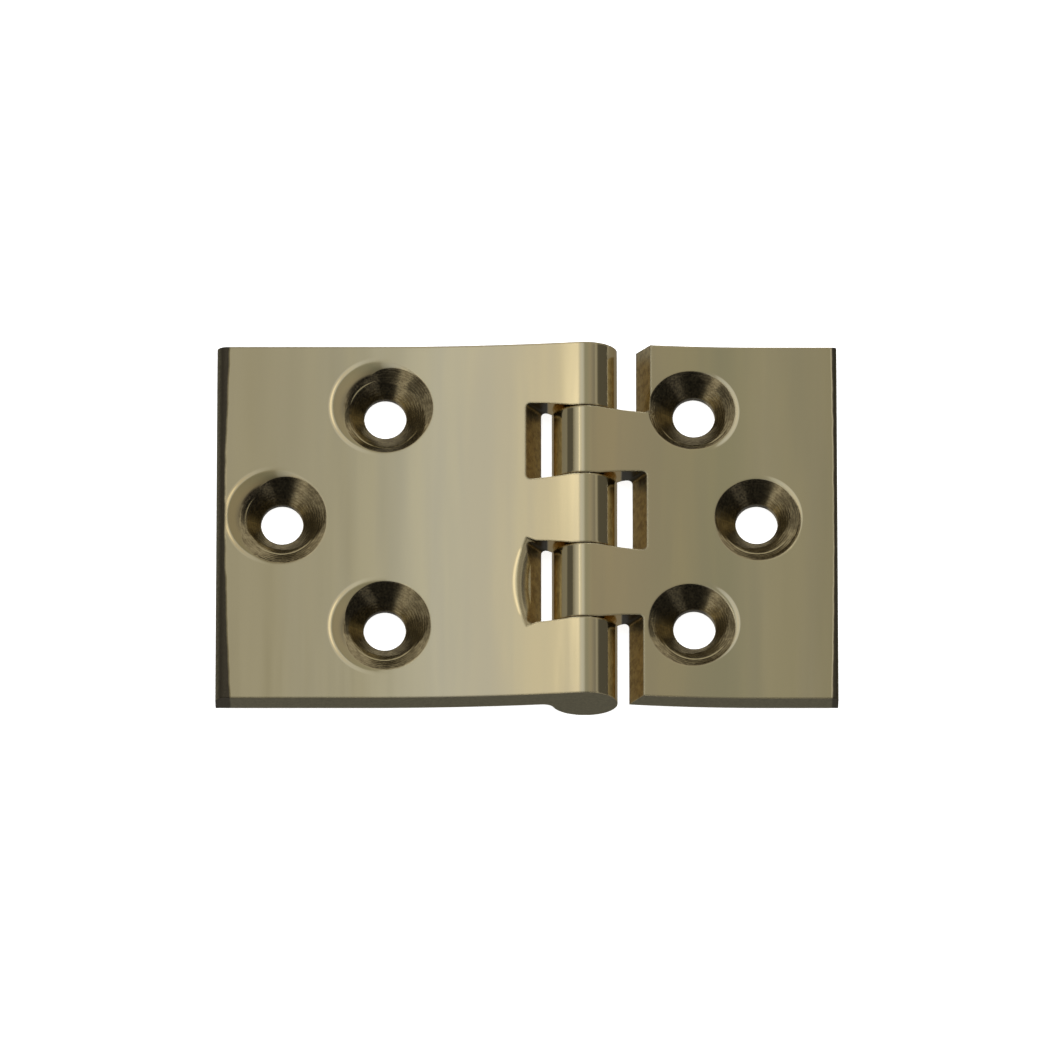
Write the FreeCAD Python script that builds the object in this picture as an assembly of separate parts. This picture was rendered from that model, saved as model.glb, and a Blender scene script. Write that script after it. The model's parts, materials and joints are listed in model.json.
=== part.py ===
import FreeCAD, Part
import math
import os

# Cast and polished brass drop leaf hinge: a wide leaf, a narrow leaf and the pin that joins them.
# The pin axis is Y, the countersunk faces look up along +Z and the narrow leaf lies towards +X.
# Sizes are in millimetres and angles in degrees.

# Barrel and pin
barrel_radius = 3.7
knuckle_lengths = [7.6, 8.1, 8.4, 8.8, 9.1]    # from the +Y end, in turn on the wide and the narrow leaf
knuckle_gap = 0.14                             # hairline between two knuckles
pin_radius = 1.75
pin_clearance = 0.05                           # radial, where the narrow leaf turns on the pin

# Plates: flat outside, swept up to the crest of the barrel
wide_reach = 41.5                              # from the pin axis to the outer edge
narrow_reach = 28.5
wide_crest_rise = 1.8                          # crest of the barrel above the flat of the face
narrow_crest_rise = 2.0
wide_sweep_start = 24.0                        # from the pin axis to where the sweep starts
narrow_sweep_start = 20.0
back_depth = 1.4                               # flat backs below the pin axis
wide_edge_round = 1.2                          # rounding of the outer edges towards the face
narrow_edge_round = 0.45
crease = 8.0                                   # angle at which a rounding meets the face
end_lean = 1.0                                 # casting draft of the two end faces
root_radius = 1.2                              # under the plate, where it runs into the barrel

# Slots that let each leaf turn past the other leaf's knuckles
slot_clearances = [2.35, 1.32, 1.9, 1.32, 1.45]  # barrel to slot wall level with the pin, in knuckle order
slot_lean = 29.0                               # lean of the slot walls, widest at the top
slot_bow = 0.45                                # how far the polished slot sides bow outwards
slot_bow_start = 1.5                           # from the pin axis to the start of the bow
slot_corner_radius = 0.5                       # inner corners of the slots
slot_lips = [0, 0, 0, 0.85, 0]                 # how far each slot wall is polished over at its middle
slot_lip_radius = 1.7

# Screw holes, measured from the pin axis and from the middle of the hinge
screw_hole_radius = 2.375
screw_pair_spacing = 25.4
screw_row_shift = 0.6                          # the three rows sit a little towards +Y
wide_pair_distance = 22.5
wide_single_distance = 34.1
narrow_pair_distance = 12.35
narrow_single_distance = 19.4
countersink_lean = 45.0                        # half of the screw head's angle
wide_countersink_radius = 5.0
narrow_countersink_radius = 4.6
flare_width = 0.1                              # shallow second cut, off the centre of each countersink
flare_lean = 54.0
wide_flare_shifts = [[0.1, 0.35], [-0.1, -0.5], [-0.1, -0.5]]    # upper, outer and lower hole
narrow_flare_shifts = [[0.3, 0.05], [0.25, -0.45], [0.25, -0.45]]
lip_radius = 3.5                               # lip polished over beside each wide leaf countersink
lip_reach = 5.4
lip_inner = 3.45
wide_lip_shifts = [[-0.5, 0.55], [-0.7, 0.15], [-0.55, -0.35]]

# Values worked out from the sizes above
top = barrel_radius
hinge_length = sum(knuckle_lengths)
half_length = hinge_length / 2
outside = 10.0                                 # how far cutting shapes reach past the metal
slot_overrun = 0.3                             # how far the slot cutters pass the barrel above and below


def tan_deg(angle):
    return math.tan(math.radians(angle))


def sin_deg(angle):
    return math.sin(math.radians(angle))


def cos_deg(angle):
    return math.cos(math.radians(angle))


def point(x, y, z):
    return FreeCAD.Vector(x, y, z)


def line(start, finish):
    return Part.LineSegment(start, finish).toShape()


def arc_about(centre, start, finish):
    # The shorter arc round a centre
    to_start = start - centre
    to_finish = finish - centre
    middle = centre + (to_start + to_finish).normalize() * to_start.Length
    return Part.Arc(start, middle, finish).toShape()


def prism(points, direction):
    wire = Part.makePolygon(points + points[:1])
    return Part.Face(wire).extrude(direction)


def knuckle_span(index):
    start = half_length - sum(knuckle_lengths[:index])
    return start - knuckle_lengths[index], start


def sweep(side):
    # Where the face starts to rise, its flat level and the radius of the rise, which touches the barrel
    start, rise = (wide_sweep_start, wide_crest_rise) if side < 0 else (narrow_sweep_start, narrow_crest_rise)
    radius = (start ** 2 + rise ** 2) / (2 * rise) - barrel_radius
    return start, top - rise, radius


def face_level(side, x):
    start, flat, radius = sweep(side)
    inwards = max(start - abs(x), 0)
    return flat + radius - math.sqrt(radius ** 2 - inwards ** 2)


def end_block():
    # Everything between the two leaning end faces
    reach = max(wide_reach, narrow_reach) + outside
    low = -barrel_radius - outside
    high = top + outside
    low_half = half_length + (top - low) * tan_deg(end_lean)
    high_half = half_length + (top - high) * tan_deg(end_lean)
    points = [
        point(-reach, -low_half, low),
        point(-reach, low_half, low),
        point(-reach, high_half, high),
        point(-reach, -high_half, high),
    ]
    return prism(points, point(2 * reach, 0, 0))


def root_centre(sweep_centre, back_radius):
    # Centre of the root radius, which touches the barrel and the swept back of the plate
    near = barrel_radius + root_radius
    far = back_radius + root_radius
    apart = sweep_centre.Length
    along = (near ** 2 - far ** 2 + apart ** 2) / (2 * apart)
    aside = math.sqrt(near ** 2 - along ** 2)
    direction = sweep_centre / apart
    across = point(direction.z, 0, -direction.x)
    if across.x * sweep_centre.x < 0:
        across = across * -1
    return direction * along + across * aside


def leaf_section(side, reach, edge_round):
    # Plate and barrel seen along the pin, with the root radius under the plate and the rounded outer edge
    start, flat, radius = sweep(side)
    back_radius = radius + flat + back_depth
    centre = point(side * start, 0, flat + radius)
    on_crest = centre * (barrel_radius / centre.Length)
    root = root_centre(centre, back_radius)
    on_barrel = root * (barrel_radius / root.Length)
    on_back = centre + (root - centre).normalize() * back_radius
    face_start = point(side * start, 0, flat)
    back_start = point(side * start, 0, -back_depth)
    edge_centre = point(side * (reach - edge_round), 0, flat - edge_round * cos_deg(crease))
    edge_face = edge_centre + point(side * edge_round * sin_deg(crease), 0, edge_round * cos_deg(crease))
    edge_wall = edge_centre + point(side * edge_round, 0, 0)
    edge_back = point(side * reach, 0, -back_depth)
    edges = [
        line(edge_back, edge_wall),
        arc_about(edge_centre, edge_wall, edge_face),
        line(edge_face, face_start),
        arc_about(centre, face_start, on_crest),
        Part.Arc(on_crest, point(-side * barrel_radius, 0, 0), on_barrel).toShape(),
        arc_about(root, on_barrel, on_back),
        arc_about(centre, on_back, back_start),
        line(back_start, edge_back),
    ]
    return Part.Face(Part.Wire(edges))


def slot_side(near_x, far_x, y, bow):
    # One side of a slot in plan: an arc that bows by the given amount, or a straight line
    start = point(near_x, y, 0)
    finish = point(far_x, y, 0)
    if bow == 0:
        return line(start, finish)
    middle = point((near_x + far_x) / 2, y + bow, 0)
    return Part.Arc(start, middle, finish).toShape()


def slot_plan(side, index, wall_x):
    # Seen from above: past the barrel, between two knuckle faces, then bowed sides up to the wall
    low, high = knuckle_span(index)
    low -= knuckle_gap / 2
    high += knuckle_gap / 2
    low_bow = -slot_bow
    high_bow = slot_bow
    if index == 0:
        high += outside
        high_bow = 0
    if index == len(knuckle_lengths) - 1:
        low -= outside
        low_bow = 0
    open_x = -side * (barrel_radius + outside)
    near_x = side * slot_bow_start
    far_x = 2 * side * wall_x - near_x
    edges = [
        slot_side(open_x, near_x, high, 0),
        slot_side(near_x, far_x, high, high_bow),
        line(point(far_x, high, 0), point(far_x, low, 0)),
        slot_side(far_x, near_x, low, low_bow),
        slot_side(near_x, open_x, low, 0),
        line(point(open_x, low, 0), point(open_x, high, 0)),
    ]
    return Part.Face(Part.Wire(edges))


def slot(side, index):
    # Opening in the leaf on this side for one knuckle of the other leaf, with its leaning wall
    low_z = -barrel_radius - slot_overrun
    high_z = top + slot_overrun
    wall_x = barrel_radius + slot_clearances[index]
    plan = slot_plan(side, index, wall_x + top * tan_deg(slot_lean))
    plan.translate(point(0, 0, low_z))
    upright = plan.extrude(point(0, 0, high_z - low_z))
    below_z = low_z - outside
    above_z = high_z + outside
    start = -half_length - 2 * outside
    open_x = -side * (barrel_radius + 2 * outside)
    room = [
        point(open_x, start, below_z),
        point(side * (wall_x + below_z * tan_deg(slot_lean)), start, below_z),
        point(side * (wall_x + above_z * tan_deg(slot_lean)), start, above_z),
        point(open_x, start, above_z),
    ]
    cutter = upright.common(prism(room, point(0, hinge_length + 4 * outside, 0)))
    corners = []
    for edge in cutter.Edges:
        middle = edge.CenterOfMass
        upright_edge = edge.BoundBox.ZLength > high_z - low_z - 1e-3
        if upright_edge and side * middle.x > slot_bow_start and abs(middle.y) < half_length:
            corners.append(edge)
    return cutter.makeFillet(slot_corner_radius, corners)


def slot_lip(side, index):
    # Rounds the face over towards a slot wall, widest at its middle and gone at its corners
    low, high = knuckle_span(index)
    middle = (low + high) / 2
    half = (high - low) / 2 + slot_bow
    wall_x = barrel_radius + slot_clearances[index]
    wall_x += face_level(side, wall_x) * tan_deg(slot_lean)
    lip_x = wall_x + slot_lips[index]
    turn_radius = (half ** 2 + slot_lips[index] ** 2) / (2 * slot_lips[index])
    turn = math.degrees(math.asin(half / turn_radius)) + crease / 4
    axis = point(side * (lip_x - turn_radius), middle, 0)
    start = point(side * lip_x, middle, face_level(side, lip_x))
    to_centre = point(side * sin_deg(crease), 0, -cos_deg(crease))
    to_wall = point(-side * cos_deg(slot_lean), 0, sin_deg(slot_lean))
    centre = start + to_centre * slot_lip_radius
    finish = centre + to_wall * slot_lip_radius
    inner = finish - point(side * slot_lips[index] / 2, 0, 0)
    high_z = top + slot_overrun
    edges = [
        line(point(start.x, middle, high_z), start),
        arc_about(centre, start, finish),
        line(finish, inner),
        line(inner, point(inner.x, middle, high_z)),
        line(point(inner.x, middle, high_z), point(start.x, middle, high_z)),
    ]
    face = Part.Face(Part.Wire(edges))
    face.rotate(axis, point(0, 0, 1), -turn)
    return face.revolve(axis, point(0, 0, 1), 2 * turn)


def cone_cut(x, y, level, radius, lean):
    # A cone that has the given radius at the given level and reaches above it
    above = 2 * barrel_radius
    wide_radius = radius + above * tan_deg(lean)
    depth = wide_radius / tan_deg(lean)
    return Part.makeCone(wide_radius, 0, depth, point(x, y, level + above), point(0, 0, -1))


def screw_hole(side, x, y, sink_radius, shift):
    # Clearance hole, countersink for the screw head and the shallow second cut off its centre
    level = face_level(side, x)
    below = point(x, y, -back_depth - outside)
    hole = Part.makeCylinder(screw_hole_radius, back_depth + top + 2 * outside, below)
    sink = cone_cut(x, y, level, sink_radius, countersink_lean)
    flare = cone_cut(x + shift[0], y + shift[1], level, sink_radius + flare_width, flare_lean)
    return hole.fuse([sink, flare])


def lip_cut(x, y, level):
    # Rounds the face over towards a hole
    start = point(x + lip_reach, y, level)
    ring = start + point(lip_radius * sin_deg(crease), 0, -lip_radius * cos_deg(crease))
    inwards = ring.x - x - lip_inner
    finish = point(x + lip_inner, y, ring.z + math.sqrt(lip_radius ** 2 - inwards ** 2))
    high = level + barrel_radius
    edges = [
        line(point(x, y, high), point(start.x, y, high)),
        line(point(start.x, y, high), start),
        arc_about(ring, start, finish),
        line(finish, point(x, y, finish.z)),
        line(point(x, y, finish.z), point(x, y, high)),
    ]
    return Part.Face(Part.Wire(edges)).revolve(point(x, y, 0), point(0, 0, 1), 360)


def hole_places(side):
    # The upper, the outer and the lower hole of one leaf
    if side < 0:
        pair_x = -wide_pair_distance
        single_x = -wide_single_distance
    else:
        pair_x = narrow_pair_distance
        single_x = narrow_single_distance
    upper = screw_row_shift + screw_pair_spacing / 2
    lower = screw_row_shift - screw_pair_spacing / 2
    return [(pair_x, upper), (single_x, screw_row_shift), (pair_x, lower)]


def wide_holes():
    cutters = []
    for (x, y), flare, lip in zip(hole_places(-1), wide_flare_shifts, wide_lip_shifts):
        cutters.append(screw_hole(-1, x, y, wide_countersink_radius, flare))
        cutters.append(lip_cut(x + lip[0], y + lip[1], face_level(-1, x)))
    return cutters


def narrow_holes():
    cutters = []
    for (x, y), flare in zip(hole_places(1), narrow_flare_shifts):
        cutters.append(screw_hole(1, x, y, narrow_countersink_radius, flare))
    return cutters


def leaf(side, reach, edge_round, other_knuckles, bore_radius, holes):
    section = leaf_section(side, reach, edge_round)
    long = hinge_length + 2 * outside
    section.translate(point(0, -long / 2, 0))
    solid = section.extrude(point(0, long, 0)).common(end_block())
    for index in other_knuckles:
        solid = solid.cut(slot(side, index))
        if slot_lips[index] > 0:
            solid = solid.cut(slot_lip(side, index))
    bore = Part.makeCylinder(bore_radius, long, point(0, -long / 2, 0), point(0, 1, 0))
    return solid.cut([bore] + holes)


def pin():
    long = hinge_length + 2 * outside
    rod = Part.makeCylinder(pin_radius, long, point(0, -long / 2, 0), point(0, 1, 0))
    return rod.common(end_block())


def save(shape, name):
    solids = shape.removeSplitter().Solids
    if len(solids) != 1 or not solids[0].isValid():
        raise ValueError(name + " is not one valid solid")
    solids[0].exportStep("parts/" + name + ".step")
    print(name, round(solids[0].Volume, 2), "mm3")


os.makedirs("parts", exist_ok=True)
wide_knuckles = range(0, len(knuckle_lengths), 2)
narrow_knuckles = range(1, len(knuckle_lengths), 2)
wide_leaf = leaf(-1, wide_reach, wide_edge_round, narrow_knuckles, pin_radius, wide_holes())
turning_bore = pin_radius + pin_clearance
narrow_leaf = leaf(1, narrow_reach, narrow_edge_round, wide_knuckles, turning_bore, narrow_holes())
save(wide_leaf, "wide_leaf")
save(narrow_leaf, "narrow_leaf")
save(pin(), "hinge_pin")
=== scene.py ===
import json
import math
from functools import reduce
import bpy
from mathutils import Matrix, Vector


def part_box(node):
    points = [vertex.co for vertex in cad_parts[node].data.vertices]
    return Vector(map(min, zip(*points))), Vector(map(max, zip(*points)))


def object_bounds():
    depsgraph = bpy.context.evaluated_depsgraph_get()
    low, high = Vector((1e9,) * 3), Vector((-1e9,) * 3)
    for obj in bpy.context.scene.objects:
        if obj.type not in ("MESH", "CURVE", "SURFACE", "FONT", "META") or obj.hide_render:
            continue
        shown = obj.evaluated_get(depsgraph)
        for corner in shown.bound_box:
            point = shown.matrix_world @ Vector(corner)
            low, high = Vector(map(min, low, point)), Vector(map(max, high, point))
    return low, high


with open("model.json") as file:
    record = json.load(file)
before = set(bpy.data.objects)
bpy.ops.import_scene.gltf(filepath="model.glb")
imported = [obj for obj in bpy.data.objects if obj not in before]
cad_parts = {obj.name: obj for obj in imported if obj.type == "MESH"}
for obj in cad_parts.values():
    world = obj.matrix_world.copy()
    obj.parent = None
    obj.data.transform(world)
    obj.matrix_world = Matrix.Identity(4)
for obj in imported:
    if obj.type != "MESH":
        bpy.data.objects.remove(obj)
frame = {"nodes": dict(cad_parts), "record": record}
cadBox = [list(corner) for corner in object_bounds()]
mm = 0.001
screwHoles = {mount["name"]: [part / mm for part in mount["pos_m"]]
              for mount in frame["record"]["mounts"] if "_screw_" in mount["name"]}
print("frame loaded:", sorted(frame["nodes"]))

# sizes read from the frame, in millimetres
wideLow, wideHigh = [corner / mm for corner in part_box("wide_leaf")]
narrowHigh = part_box("narrow_leaf")[1] / mm
barrelRadius = wideHigh.x
halfLength = narrowHigh.y


class Wire:                                 # a socket that takes part in sums
    def __init__(self, board, socket):
        self.board = board
        self.socket = socket

    def work(self, operation, *others):
        return self.board.add("ShaderNodeMath", {"operation": operation}, [self, *others])

    def __add__(self, other): return self.work("ADD", other)
    def __sub__(self, other): return self.work("SUBTRACT", other)
    def __mul__(self, other): return self.work("MULTIPLY", other)
    def __truediv__(self, other): return self.work("DIVIDE", other)
    def __pow__(self, other): return self.work("POWER", other)
    __radd__ = __add__
    __rmul__ = __mul__

    def __rsub__(self, other):
        return self.board.add("ShaderNodeMath", {"operation": "SUBTRACT"}, [other, self])

    def size(self): return self.work("ABSOLUTE")
    def least(self, other): return self.work("MINIMUM", other)
    def most(self, other): return self.work("MAXIMUM", other)

    def rise(self, low, high):              # 0 below low, 1 above high, soft between
        sockets = {"Value": self, "From Min": low, "From Max": high}
        return self.board.add("ShaderNodeMapRange", {"interpolation_type": "SMOOTHSTEP"}, sockets)

    def fall(self, low, high):
        return 1 - self.rise(low, high)


class Board:                                # one material's or world's nodes
    def __init__(self, tree):
        self.tree = tree
        tree.nodes.clear()

    def add(self, kind, settings=None, sockets=None, output=0):
        node = self.tree.nodes.new(kind)
        for name, value in (settings or {}).items():
            if name == "stops":
                self.setStops(node.color_ramp, value)
            else:
                setattr(node, name, value)
        pairs = enumerate(sockets) if isinstance(sockets, list) else (sockets or {}).items()
        for name, value in pairs:
            if isinstance(value, Wire):
                self.tree.links.new(value.socket, node.inputs[name])
            else:
                node.inputs[name].default_value = value
        return Wire(self, node.outputs[output]) if len(node.outputs) else node

    def setStops(self, ramp, stops):
        while len(ramp.elements) < len(stops):
            ramp.elements.new(1)
        for element, (place, colour) in zip(ramp.elements, stops):
            element.position = place
            element.color = (*colour, 1)

    def mix(self, factor, first, second, blend="MIX"):
        settings = {"data_type": "RGBA", "blend_type": blend}
        first, second = [c if isinstance(c, Wire) else (*c, 1) for c in (first, second)]
        return self.add("ShaderNodeMix", settings, {0: factor, 6: first, 7: second}, output=2)

    def noise(self, place, kind):
        stretch, scale, detail, roughness = grain[kind]
        if stretch:
            place = self.add("ShaderNodeVectorMath", {"operation": "MULTIPLY"}, [place, stretch])
        sockets = {"Vector": place, "Scale": scale, "Detail": detail, "Roughness": roughness}
        return self.add("ShaderNodeTexNoise", {}, sockets)

    def split(self, vector, count=3):
        return [self.add("ShaderNodeSeparateXYZ", {}, [vector], output=i) for i in range(count)]

    def objectPlace(self):                  # in metres
        return self.add("ShaderNodeTexCoord", output="Object")

    def millimetres(self):
        sockets = {0: self.objectPlace(), "Scale": 1 / mm}
        return self.add("ShaderNodeVectorMath", {"operation": "SCALE"}, sockets)


def newBoard(name):
    material = bpy.data.materials.new(name)
    material.use_nodes = True
    return material, Board(material.node_tree)


def distance(dx, dy):
    return (dx * dx + dy * dy) ** 0.5


brass = {
    "polished": (0.80, 0.69, 0.42),         # clean face
    "streak": (0.73, 0.64, 0.415),          # slightly greener bands along the pin
    "tarnish": (0.60, 0.50, 0.285),         # towards the outer edge of the wide leaf
    "tarnishShare": 0.9,
    "barrelSide": (0.66, 0.50, 0.24),       # less polished, warmer
    "slotWall": (0.78, 0.67, 0.41),         # walls of the slots and notches
    "slotDirt": (0.50, 0.41, 0.25),
    "slotTopShade": (0.07, 0.062, 0.045),        # painted shade, near black, on the walls at their upper ends
    "castEdge": (0.37, 0.34, 0.23),         # satin ends and outer sides
    "castDark": (0.27, 0.25, 0.17),
    "shadedOuterBand": (0.125, 0.108, 0.075),     # painted shade, near black, on the rounded outer edges, which are never polished
    "bandDirt": (0.09, 0.078, 0.055),
    "bandDirtShare": 0.4,
    "wideBand": 1.0,                        # how far that painted shade comes in over the face of each leaf
    "narrowBand": 0.42,
    "bandGrowth": 0.55,                     # and how much more at the corners, most at the lower ones
    "bandLean": 0.25,
    "bandWaver": 0.3,
    "bandSoft": 0.12,
    "sinkWall": (0.74, 0.62, 0.37),         # countersinks with oil and dirt in the tool marks
    "sinkDirt": (0.30, 0.235, 0.13),
    "sinkDirtLeast": 0.16,
    "sinkDirtShare": 0.6,
    "sinkRingShare": 0.13,
    "sinkShade": (0.045, 0.040, 0.03),       # painted shade, black and broken by specks, on their upper left walls
    "shadeLean": (0.5, 0.85),
    "shadeSpecks": 0.3,
    "back": (0.46, 0.40, 0.25),
    "polishRough": 0.05,
    "polishVaries": 0.05,
    "edgeRough": 0.5,
    "wallRough": 0.38,
    "sinkRough": 0.17,
    "backRough": 0.42,
    "lip": 0.34,                            # radius of the polished edges
    "lipSamples": 6,
}
relief = {                                  # heights and places in millimetres
    "rimHeight": 0.062,                     # raised rim to the left of the wide leaf's countersinks
    "rimReach": 5.35,
    "rimWidth": 0.6,
    "rimShift": {                           # middle of each rim, from the hole
        "wide_screw_upper": (-0.5, 0.55),
        "wide_screw_outer": (-0.7, 0.15),
        "wide_screw_lower": (-0.55, -0.35),
    },
    "lipHeight": 0.26,                      # and how it keeps rising inside the rim
    "stepHeight": 0.035,                    # where the countersinks were cut twice, at their lower side
    "secondCut": 4.08,                      # the line that the second cut left, where a highlight is painted
    "slotRimCentre": (2.3, -7.5),           # polished rim along the bowed side of the lower slot
    "slotRimReach": 9.95,
    "slotRimWidth": 0.6,
    "slotRimHeight": 0.022,
    "ringTurns": 24,                        # tool rings in the countersinks, and how far they waver
    "ringWaver": 9,
    "ringHeight": 0.0025,
    "waveHeight": 0.05,                     # soft waves from the polishing wheel
    "brushHeight": 0.005,
    "brushGrowth": 0.012,                   # coarser towards the lower end
    "castHeight": 0.05,
}
limits = {                                  # where finishes begin and end: millimetres, or parts of a normal
    "lipReach": (3.3, 5.2),
    "rimSweep": (-0.8, 0.3),
    "dipReach": (4.6, 5.2),                 # the narrow leaf's holes dip to the right instead
    "dipSweep": (-0.2, 0.7),
    "slotRimEnds": (3.6, 4.7),
    "slotRimSide": (-8, -7),
    "plateStart": (0.3, 0.6),               # beyond the barrel
    "endFacing": (0.85, 0.95),
    "endInset": (1.2, 0.9),                 # from the ends of the leaves
    "outerFacing": (0.5, 0.95),
    "backFacing": (-0.9, -0.7),
    "topFacing": (0, 0.3),
    "sinkReach": (5.5, 5.7),
    "sinkFacing": (0.84, 0.90),
    "slotReach": (10.5, 11),
    "slotFacing": (0.80, 0.96),
    "slotShadeFacing": (-0.7, -0.3),
    "barrelFacing": (0.35, 0.85),
    "tarnishReach": (18, 41),
    "shadeFacing": (-0.55, -0.28),
    "cutHighlight": (0.04, 0.15),
    "highlightFacing": (0.25, 0.55),
    "stepReach": (3.95, 4.2),
    "stepFacing": (0.25, 0.5),
    "brushedEnd": (-17, -8),
    "streaks": (0.35, 0.65),                # and how hard the noises are cut
    "grime": (0.35, 0.7),
    "dirt": (0.38, 0.62),
    "specks": (0.3, 0.7),
    "cast": (0.3, 0.75),
}
grain = {                                   # noises: stretch, scale, detail, roughness
    "band": (None, 0.4, 3, 0.5),
    "streaks": ((0.22, 0.02, 0.1), 1, 3, 0.5),
    "grime": (None, 1.3, 4, 0.65),
    "rings": (None, 2.4, 3, 0.5),
    "dirt": (None, 1.1, 6, 0.75),
    "specks": (None, 4.5, 3, 0.7),
    "cast": (None, 3.5, 4, 0.7),
    "fine": ((6, 0.25, 6), 1, 3, 0.5),
    "waves": ((0.16, 0.03, 0.16), 1, 1, 0.5),
    "brushed": ((0.32, 0.025, 0.3), 1, 2, 0.5),
}


def holeRims(x, y):                         # distance to the nearest hole, and the raised rims beside them
    reaches, rims, dips = [], [], []
    for hole, centre in screwHoles.items():
        dx = x - centre[0]
        dy = y - centre[1]
        reaches.append(distance(dx, dy))
        if hole in relief["rimShift"]:
            shift = relief["rimShift"][hole]
            dx = dx - shift[0]
            dy = dy - shift[1]
            r = distance(dx, dy)
            ring = r.fall(relief["rimReach"], relief["rimReach"] + relief["rimWidth"]) * relief["rimHeight"]
            inner = r.fall(*limits["lipReach"]) * relief["lipHeight"]
            rims.append((ring + inner) * (dx / r).fall(*limits["rimSweep"]))
        else:
            r = reaches[-1]
            dip = r.fall(*limits["dipReach"]) * (dx / r).rise(*limits["dipSweep"])
            dips.append(dip * relief["rimHeight"])
    rim = reduce(Wire.most, rims)
    return reduce(Wire.least, reaches), reduce(Wire.__sub__, dips, rim)


def slotRim(x, y):
    dx = x - relief["slotRimCentre"][0]
    dy = y - relief["slotRimCentre"][1]
    outside = relief["slotRimReach"] + relief["slotRimWidth"]
    ring = distance(dx, dy).fall(relief["slotRimReach"], outside)
    ends = dy.size().fall(*limits["slotRimEnds"])
    return ring * ends * dx.fall(*limits["slotRimSide"]) * relief["slotRimHeight"]


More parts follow.
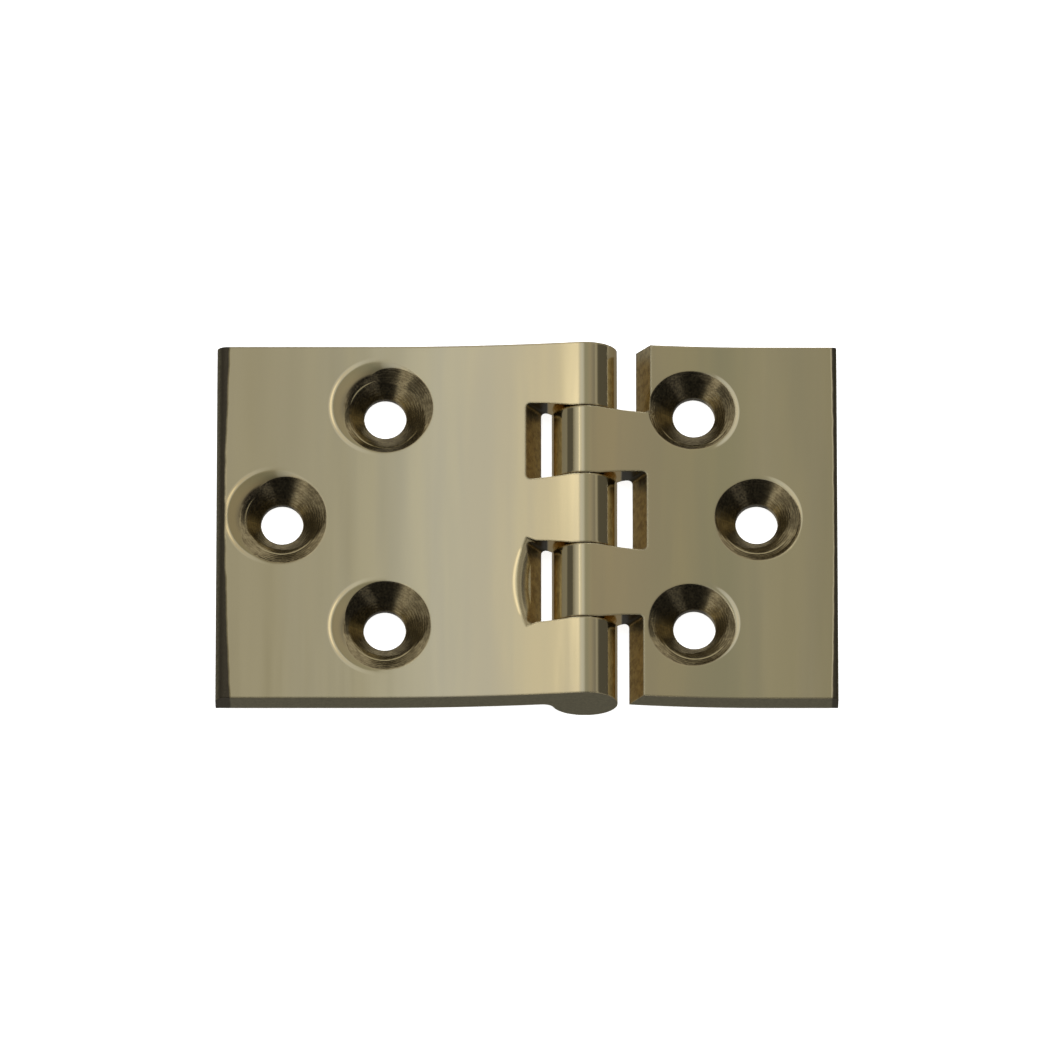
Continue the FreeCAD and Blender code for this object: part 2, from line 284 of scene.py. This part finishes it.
def leafBrass(name, side, outermost, band):
    material, board = newBoard(name)
    place = board.millimetres()
    x, y = board.split(place, 2)
    nx, ny, nz = board.split(board.add("ShaderNodeTexCoord", output="Normal"))
    reach, rim = holeRims(x, y)
    if side < 0:
        rim = rim + slotRim(x, y)
    out = x * side                          # distance from the pin axis on this leaf's own side
    # where each finish lies
    inPlate = out.rise(*[barrelRadius + beyond for beyond in limits["plateStart"]])
    nearEnd = y.size().rise(*[halfLength - inset for inset in limits["endInset"]])
    endFace = ny.size().rise(*limits["endFacing"]) * nearEnd
    end = y / halfLength
    growth = 1 + brass["bandGrowth"] * (end * end - end * brass["bandLean"])
    waver = board.noise(place, "band") * brass["bandWaver"] - brass["bandWaver"] / 2
    soft = brass["bandSoft"]
    # painted shade: a near-black band along the rounded outer edge of each leaf, wider at the corners
    shadedOuterBand = (out + (band * growth + waver)).rise(outermost - soft, outermost + soft)
    shadedOuterBand = shadedOuterBand * nz.rise(*limits["backFacing"])
    backFace = nz.fall(*limits["backFacing"])
    inSink = reach.fall(*limits["sinkReach"]) * nz.fall(*limits["sinkFacing"])
    slotWall = inPlate * out.fall(*limits["slotReach"]) * nz.fall(*limits["slotFacing"])
    # painted shade: slot walls that face the front turn near black at the slots' upper ends
    slotTopShade = slotWall * ny.fall(*limits["slotShadeFacing"])
    barrelSide = (1 - inPlate) * nz.fall(*limits["barrelFacing"])
    # the polished face and the slots
    streaks = board.noise(place, "streaks").rise(*limits["streaks"])
    colour = board.mix(streaks, brass["polished"], brass["streak"])
    tarnish = out.rise(*limits["tarnishReach"]) * brass["tarnishShare"]
    colour = board.mix(tarnish, colour, brass["tarnish"])
    colour = board.mix(barrelSide, colour, brass["barrelSide"])
    grime = board.noise(place, "grime").rise(*limits["grime"])
    colour = board.mix(slotWall, colour, board.mix(grime, brass["slotWall"], brass["slotDirt"]))
    colour = board.mix(slotTopShade, colour, brass["slotTopShade"])
    # the countersinks
    rings = (reach * relief["ringTurns"] + board.noise(place, "rings") * relief["ringWaver"]).work("SINE")
    dirt = board.noise(place, "dirt").rise(*limits["dirt"]) * brass["sinkDirtShare"]
    dirt = dirt + rings * brass["sinkRingShare"] + brass["sinkDirtLeast"]
    sinkColour = board.mix(dirt, brass["sinkWall"], brass["sinkDirt"])
    specks = board.noise(place, "specks").rise(*limits["specks"])
    leanX, leanY = brass["shadeLean"]
    # painted shade: countersink walls that face the upper left turn near black, broken by specks
    sinkShadeMask = (ny * leanY - nx * leanX).fall(*limits["shadeFacing"]) * (1 - specks * brass["shadeSpecks"])
    sinkColour = board.mix(sinkShadeMask, sinkColour, brass["sinkShade"])
    # painted highlight: a thin ring of the clean polished colour along that line, on the lower walls only
    cutHighlight = (reach - relief["secondCut"]).size().fall(*limits["cutHighlight"])
    sinkColour = board.mix(cutHighlight * ny.rise(*limits["highlightFacing"]), sinkColour, brass["polished"])
    colour = board.mix(inSink, colour, sinkColour)
    # ends, outer edges with their painted shade, and back
    cast = board.noise(place, "cast")
    castPatches = cast.rise(*limits["cast"])
    edgeColour = board.mix(castPatches, brass["castEdge"], brass["castDark"])
    colour = board.mix(endFace, colour, edgeColour)
    # the rounding that faces up takes the painted shade; the sides that face outward keep the satin colour
    bandColour = board.mix((nx * side).rise(*limits["outerFacing"]), brass["shadedOuterBand"], edgeColour)
    bandColour = board.mix(castPatches * brass["bandDirtShare"], bandColour, brass["bandDirt"])
    colour = board.mix(shadedOuterBand, colour, bandColour)
    colour = board.mix(backFace, colour, brass["back"])
    # roughness
    edge = endFace.most(shadedOuterBand)
    rough = brass["polishRough"] + board.noise(place, "fine") * brass["polishVaries"]
    roughParts = {"wallRough": slotWall, "sinkRough": inSink, "edgeRough": edge, "backRough": backFace}
    for part, mask in roughParts.items():
        rough = rough + mask * (brass[part] - rough)
    # relief: polishing waves, brush lines, raised rims, the second cut, tool rings and cast grain
    brushed = relief["brushHeight"] + y.fall(*limits["brushedEnd"]) * relief["brushGrowth"]
    step = reach.fall(*limits["stepReach"]) * inSink * ny.rise(*limits["stepFacing"])
    height = board.noise(place, "waves") * relief["waveHeight"] + board.noise(place, "brushed") * brushed
    height = height + rim * nz.rise(*limits["topFacing"]) + step * relief["stepHeight"]
    height = height + rings * inSink * relief["ringHeight"] + cast * edge * relief["castHeight"]
    lip = board.add("ShaderNodeBevel", {"samples": brass["lipSamples"]}, {"Radius": brass["lip"] * mm})
    true = board.add("ShaderNodeNewGeometry", output="Normal")
    lip = board.add("ShaderNodeMix", {"data_type": "VECTOR"}, {0: endFace, 4: lip, 5: true}, output=1)
    finishMetal(board, colour, rough, {"Height": height, "Normal": lip})
    return material


def pinBrass(name):
    material, board = newBoard(name)
    cast = board.noise(board.millimetres(), "cast")
    colour = board.mix(cast.rise(*limits["cast"]), brass["castEdge"], brass["castDark"])
    finishMetal(board, colour, brass["edgeRough"], {"Height": cast * relief["castHeight"]})
    return material


def finishMetal(board, colour, rough, surface):
    bump = board.add("ShaderNodeBump", {}, {"Strength": 1, "Distance": mm, **surface})
    shader = board.add("ShaderNodeBsdfPrincipled", {}, {
        "Base Color": colour, "Metallic": 1, "Roughness": rough, "Normal": bump})
    board.add("ShaderNodeOutputMaterial", {}, {"Surface": shader})


def dress(node, material):
    mesh = frame["nodes"][node].data
    mesh.materials.clear()
    mesh.materials.append(material)


dress("wide_leaf", leafBrass("wideLeafBrass", -1, -wideLow.x, brass["wideBand"]))
dress("narrow_leaf", leafBrass("narrowLeafBrass", 1, narrowHigh.x, brass["narrowBand"]))
dress("hinge_pin", pinBrass("pinBrass"))
print("materials on the leaves and the pin")

# studio: a white floor and world, a wide panel overhead, walls with dark flags, a grey mat and a soft lamp
studio = {
    "floorSize": 6.0,
    "floorColour": (0.9, 0.9, 0.9),
    "floorGlow": 0.82,                      # what camera and mirror rays see on top of the lit floor
    "worldGlow": 0.35,                      # as light; to camera and mirror rays the world is white
    "seenBy": ("Is Camera Ray", "Is Glossy Ray", "Is Transmission Ray"),
    "lampPower": 14,
    "lampSize": 1.4,
    "lampLevel": 1.2,
}
panel = {                                   # its tones run across the hinge, brightest over the wide leaf
    "level": 2.0,
    "x": (-3.0, 3.4),
    "y": (-2.4, 3.4),
    "frontShare": 0.45,                     # how bright its front part is
    "fade": (-0.5, 0.25),                   # slope towards the back over which it comes up to full
    "tones": [                              # sideways slope of the mirrored ray, and the glow it meets
        (-1.50, (0.05, 0.05, 0.05)),
        (-0.90, (0.12, 0.12, 0.11)),
        (-0.65, (0.40, 0.40, 0.40)),
        (-0.37, (0.60, 0.60, 0.60)),
        (-0.34, (1.25, 1.20, 1.12)),        # a bright strip lamp to the left
        (-0.32, (1.25, 1.20, 1.12)),
        (-0.28, (0.70, 0.68, 0.66)),
        (-0.12, (0.59, 0.62, 0.69)),        # cool daylight over the wide leaf
        (-0.02, (0.48, 0.50, 0.52)),
        (0.01, (0.34, 0.34, 0.32)),
        (0.10, (0.30, 0.31, 0.28)),         # the dim side, over the narrow leaf
        (0.35, (0.35, 0.33, 0.29)),
        (0.60, (0.26, 0.25, 0.24)),
        (1.60, (0.05, 0.05, 0.05)),
    ],
}
walls = {                                   # with flags right, left and in front, in shares of the radius
    "radius": 0.6,
    "height": 0.66,
    "sides": 64,
    "tint": (1, 0.97, 0.9),
    "glow": 0.36,
    "flagGlow": 0.09,
    "flagSide": (0.78, 0.86),
    "rightTop": (0.75, 0.95),
    "leftBottom": (0.35, 0.5),
    "leftTop": (0.95, 1.1),
    "lowLeftShare": 0.5,                    # half a flag below the left one
    "frontSide": (0.8, 0.9),
    "frontBottom": (0.12, 0.2),
    "frontTop": (0.95, 1.08),
}
mat = {"size": 0.9, "lift": 0.05 * mm, "glow": 0.25}    # under the hinge, and only the metal sees it


def deselect():
    bpy.ops.object.select_all(action="DESELECT")


def seenRays(board):                        # 1 for what the camera sees, also in metal and through glass
    rays = [board.add("ShaderNodeLightPath", output=ray) for ray in studio["seenBy"]]
    return reduce(Wire.most, rays)


def makeFloor():
    deselect()
    bpy.ops.mesh.primitive_plane_add(size=studio["floorSize"], location=(0, 0, cadBox[0][2]))
    floor = bpy.context.object
    floor.name = "floor"
    material, board = newBoard("floorWhite")
    lit = board.add("ShaderNodeBsdfDiffuse", {}, {"Color": (*studio["floorColour"], 1)})
    shown = board.mix(seenRays(board), (0, 0, 0), (1, 1, 1))
    glow = board.add("ShaderNodeEmission", {}, {"Color": shown, "Strength": studio["floorGlow"]})
    both = board.add("ShaderNodeAddShader", {}, [lit, glow])
    board.add("ShaderNodeOutputMaterial", {}, {"Surface": both})
    floor.data.materials.append(material)


def glowing(piece, board, material, colour, strength):      # seen in the metal and nowhere else
    glow = board.add("ShaderNodeEmission", {}, {"Color": colour, "Strength": strength})
    board.add("ShaderNodeOutputMaterial", {}, {"Surface": glow})
    piece.data.materials.append(material)
    piece.visible_camera = False
    piece.visible_diffuse = False
    piece.visible_shadow = False
    piece.visible_transmission = False


def makePanel():
    low, high = panel["x"]
    near, far = panel["y"]
    level = panel["level"]
    deselect()
    bpy.ops.mesh.primitive_plane_add(size=1)
    piece = bpy.context.object
    piece.name = "panel"
    bpy.ops.transform.resize(value=(high - low, far - near, 1))
    bpy.ops.transform.translate(value=((low + high) / 2, (near + far) / 2, level))
    bpy.ops.object.transform_apply(location=True, rotation=True, scale=True)
    material, board = newBoard("panelGlow")
    x, y = board.split(board.objectPlace(), 2)
    first, last = panel["tones"][0][0], panel["tones"][-1][0]
    stops = [((at - first) / (last - first), tone) for at, tone in panel["tones"]]
    across = (x / level - first) / (last - first)
    colour = board.add("ShaderNodeValToRGB", {"stops": stops}, {"Fac": across})
    dimmed = board.mix(1, colour, (panel["frontShare"],) * 3, "MULTIPLY")
    toBack = y.rise(*[slope * level for slope in panel["fade"]])
    glowing(piece, board, material, board.mix(toBack, dimmed, colour), 1)


def makeWalls():
    radius, height = walls["radius"], walls["height"]
    deselect()
    bpy.ops.mesh.primitive_cylinder_add(vertices=walls["sides"], radius=radius, depth=height,
                                        end_fill_type="NOTHING", location=(0, 0, height / 2))
    piece = bpy.context.object
    piece.name = "walls"
    bpy.ops.object.transform_apply(location=True, rotation=True, scale=True)
    material, board = newBoard("wallGlow")
    x, y, z = [part / radius for part in board.split(board.objectPlace())]
    toLeft = (x * -1).rise(*walls["flagSide"])
    aboveLow = z.rise(*walls["leftBottom"])
    right = x.rise(*walls["flagSide"]) * z.fall(*walls["rightTop"])
    left = toLeft * aboveLow * z.fall(*walls["leftTop"])
    lowLeft = toLeft * (1 - aboveLow) * walls["lowLeftShare"]
    front = (y * -1).rise(*walls["frontSide"]) * z.rise(*walls["frontBottom"]) * z.fall(*walls["frontTop"])
    flags = right.most(left).most(front).most(lowLeft)
    bright, dark = [[part * walls[glow] for part in walls["tint"]] for glow in ("glow", "flagGlow")]
    glowing(piece, board, material, board.mix(flags, bright, dark), 1)


def makeMat():
    deselect()
    bpy.ops.mesh.primitive_plane_add(size=mat["size"], location=(0, 0, cadBox[0][2] + mat["lift"]))
    piece = bpy.context.object
    piece.name = "mat"
    bpy.ops.object.transform_apply(location=True, rotation=True, scale=True)
    material, board = newBoard("matGlow")
    glowing(piece, board, material, (*walls["tint"], 1), mat["glow"])


def makeLamp():
    lamp = bpy.data.lights.new("softLamp", "AREA")
    lamp.energy = studio["lampPower"]
    lamp.size = studio["lampSize"]
    lampObject = bpy.data.objects.new("softLamp", lamp)
    lampObject.location = (0, 0, studio["lampLevel"])
    lampObject.visible_glossy = False
    bpy.context.scene.collection.objects.link(lampObject)


def makeWorld():
    world = bpy.data.worlds.new("studioWorld")
    world.use_nodes = True
    bpy.context.scene.world = world
    board = Board(world.node_tree)
    shown = board.mix(seenRays(board), (studio["worldGlow"],) * 3, (1, 1, 1))
    glow = board.add("ShaderNodeBackground", {}, {"Color": shown, "Strength": 1})
    board.add("ShaderNodeOutputWorld", {}, {"Surface": glow})


makeFloor()
makePanel()
makeWalls()
makeMat()
makeLamp()
makeWorld()
print("studio set")

shot = {
    "elevation": 70,                        # degrees above the leaves
    "lens": 600,
    "frameWidth": 118.6 * mm,               # what the picture is across at the hinge
    "target": (-6.6 * mm, 0.18 * mm, 0),
}


def makeCamera():
    camera = bpy.data.cameras.new("camera")
    camera.lens = shot["lens"]
    away = shot["frameWidth"] * camera.lens / camera.sensor_width
    camera.clip_end = 2 * away + studio["floorSize"]
    rise = math.radians(shot["elevation"])
    back = Vector((0, -math.cos(rise), math.sin(rise)))
    cameraObject = bpy.data.objects.new("camera", camera)
    cameraObject.location = Vector(shot["target"]) + back * away
    cameraObject.rotation_euler = (-back).to_track_quat("-Z", "Y").to_euler()
    bpy.context.scene.collection.objects.link(cameraObject)
    bpy.context.scene.camera = cameraObject


makeCamera()
bpy.context.scene.view_settings.view_transform = "Standard"
print("camera set")
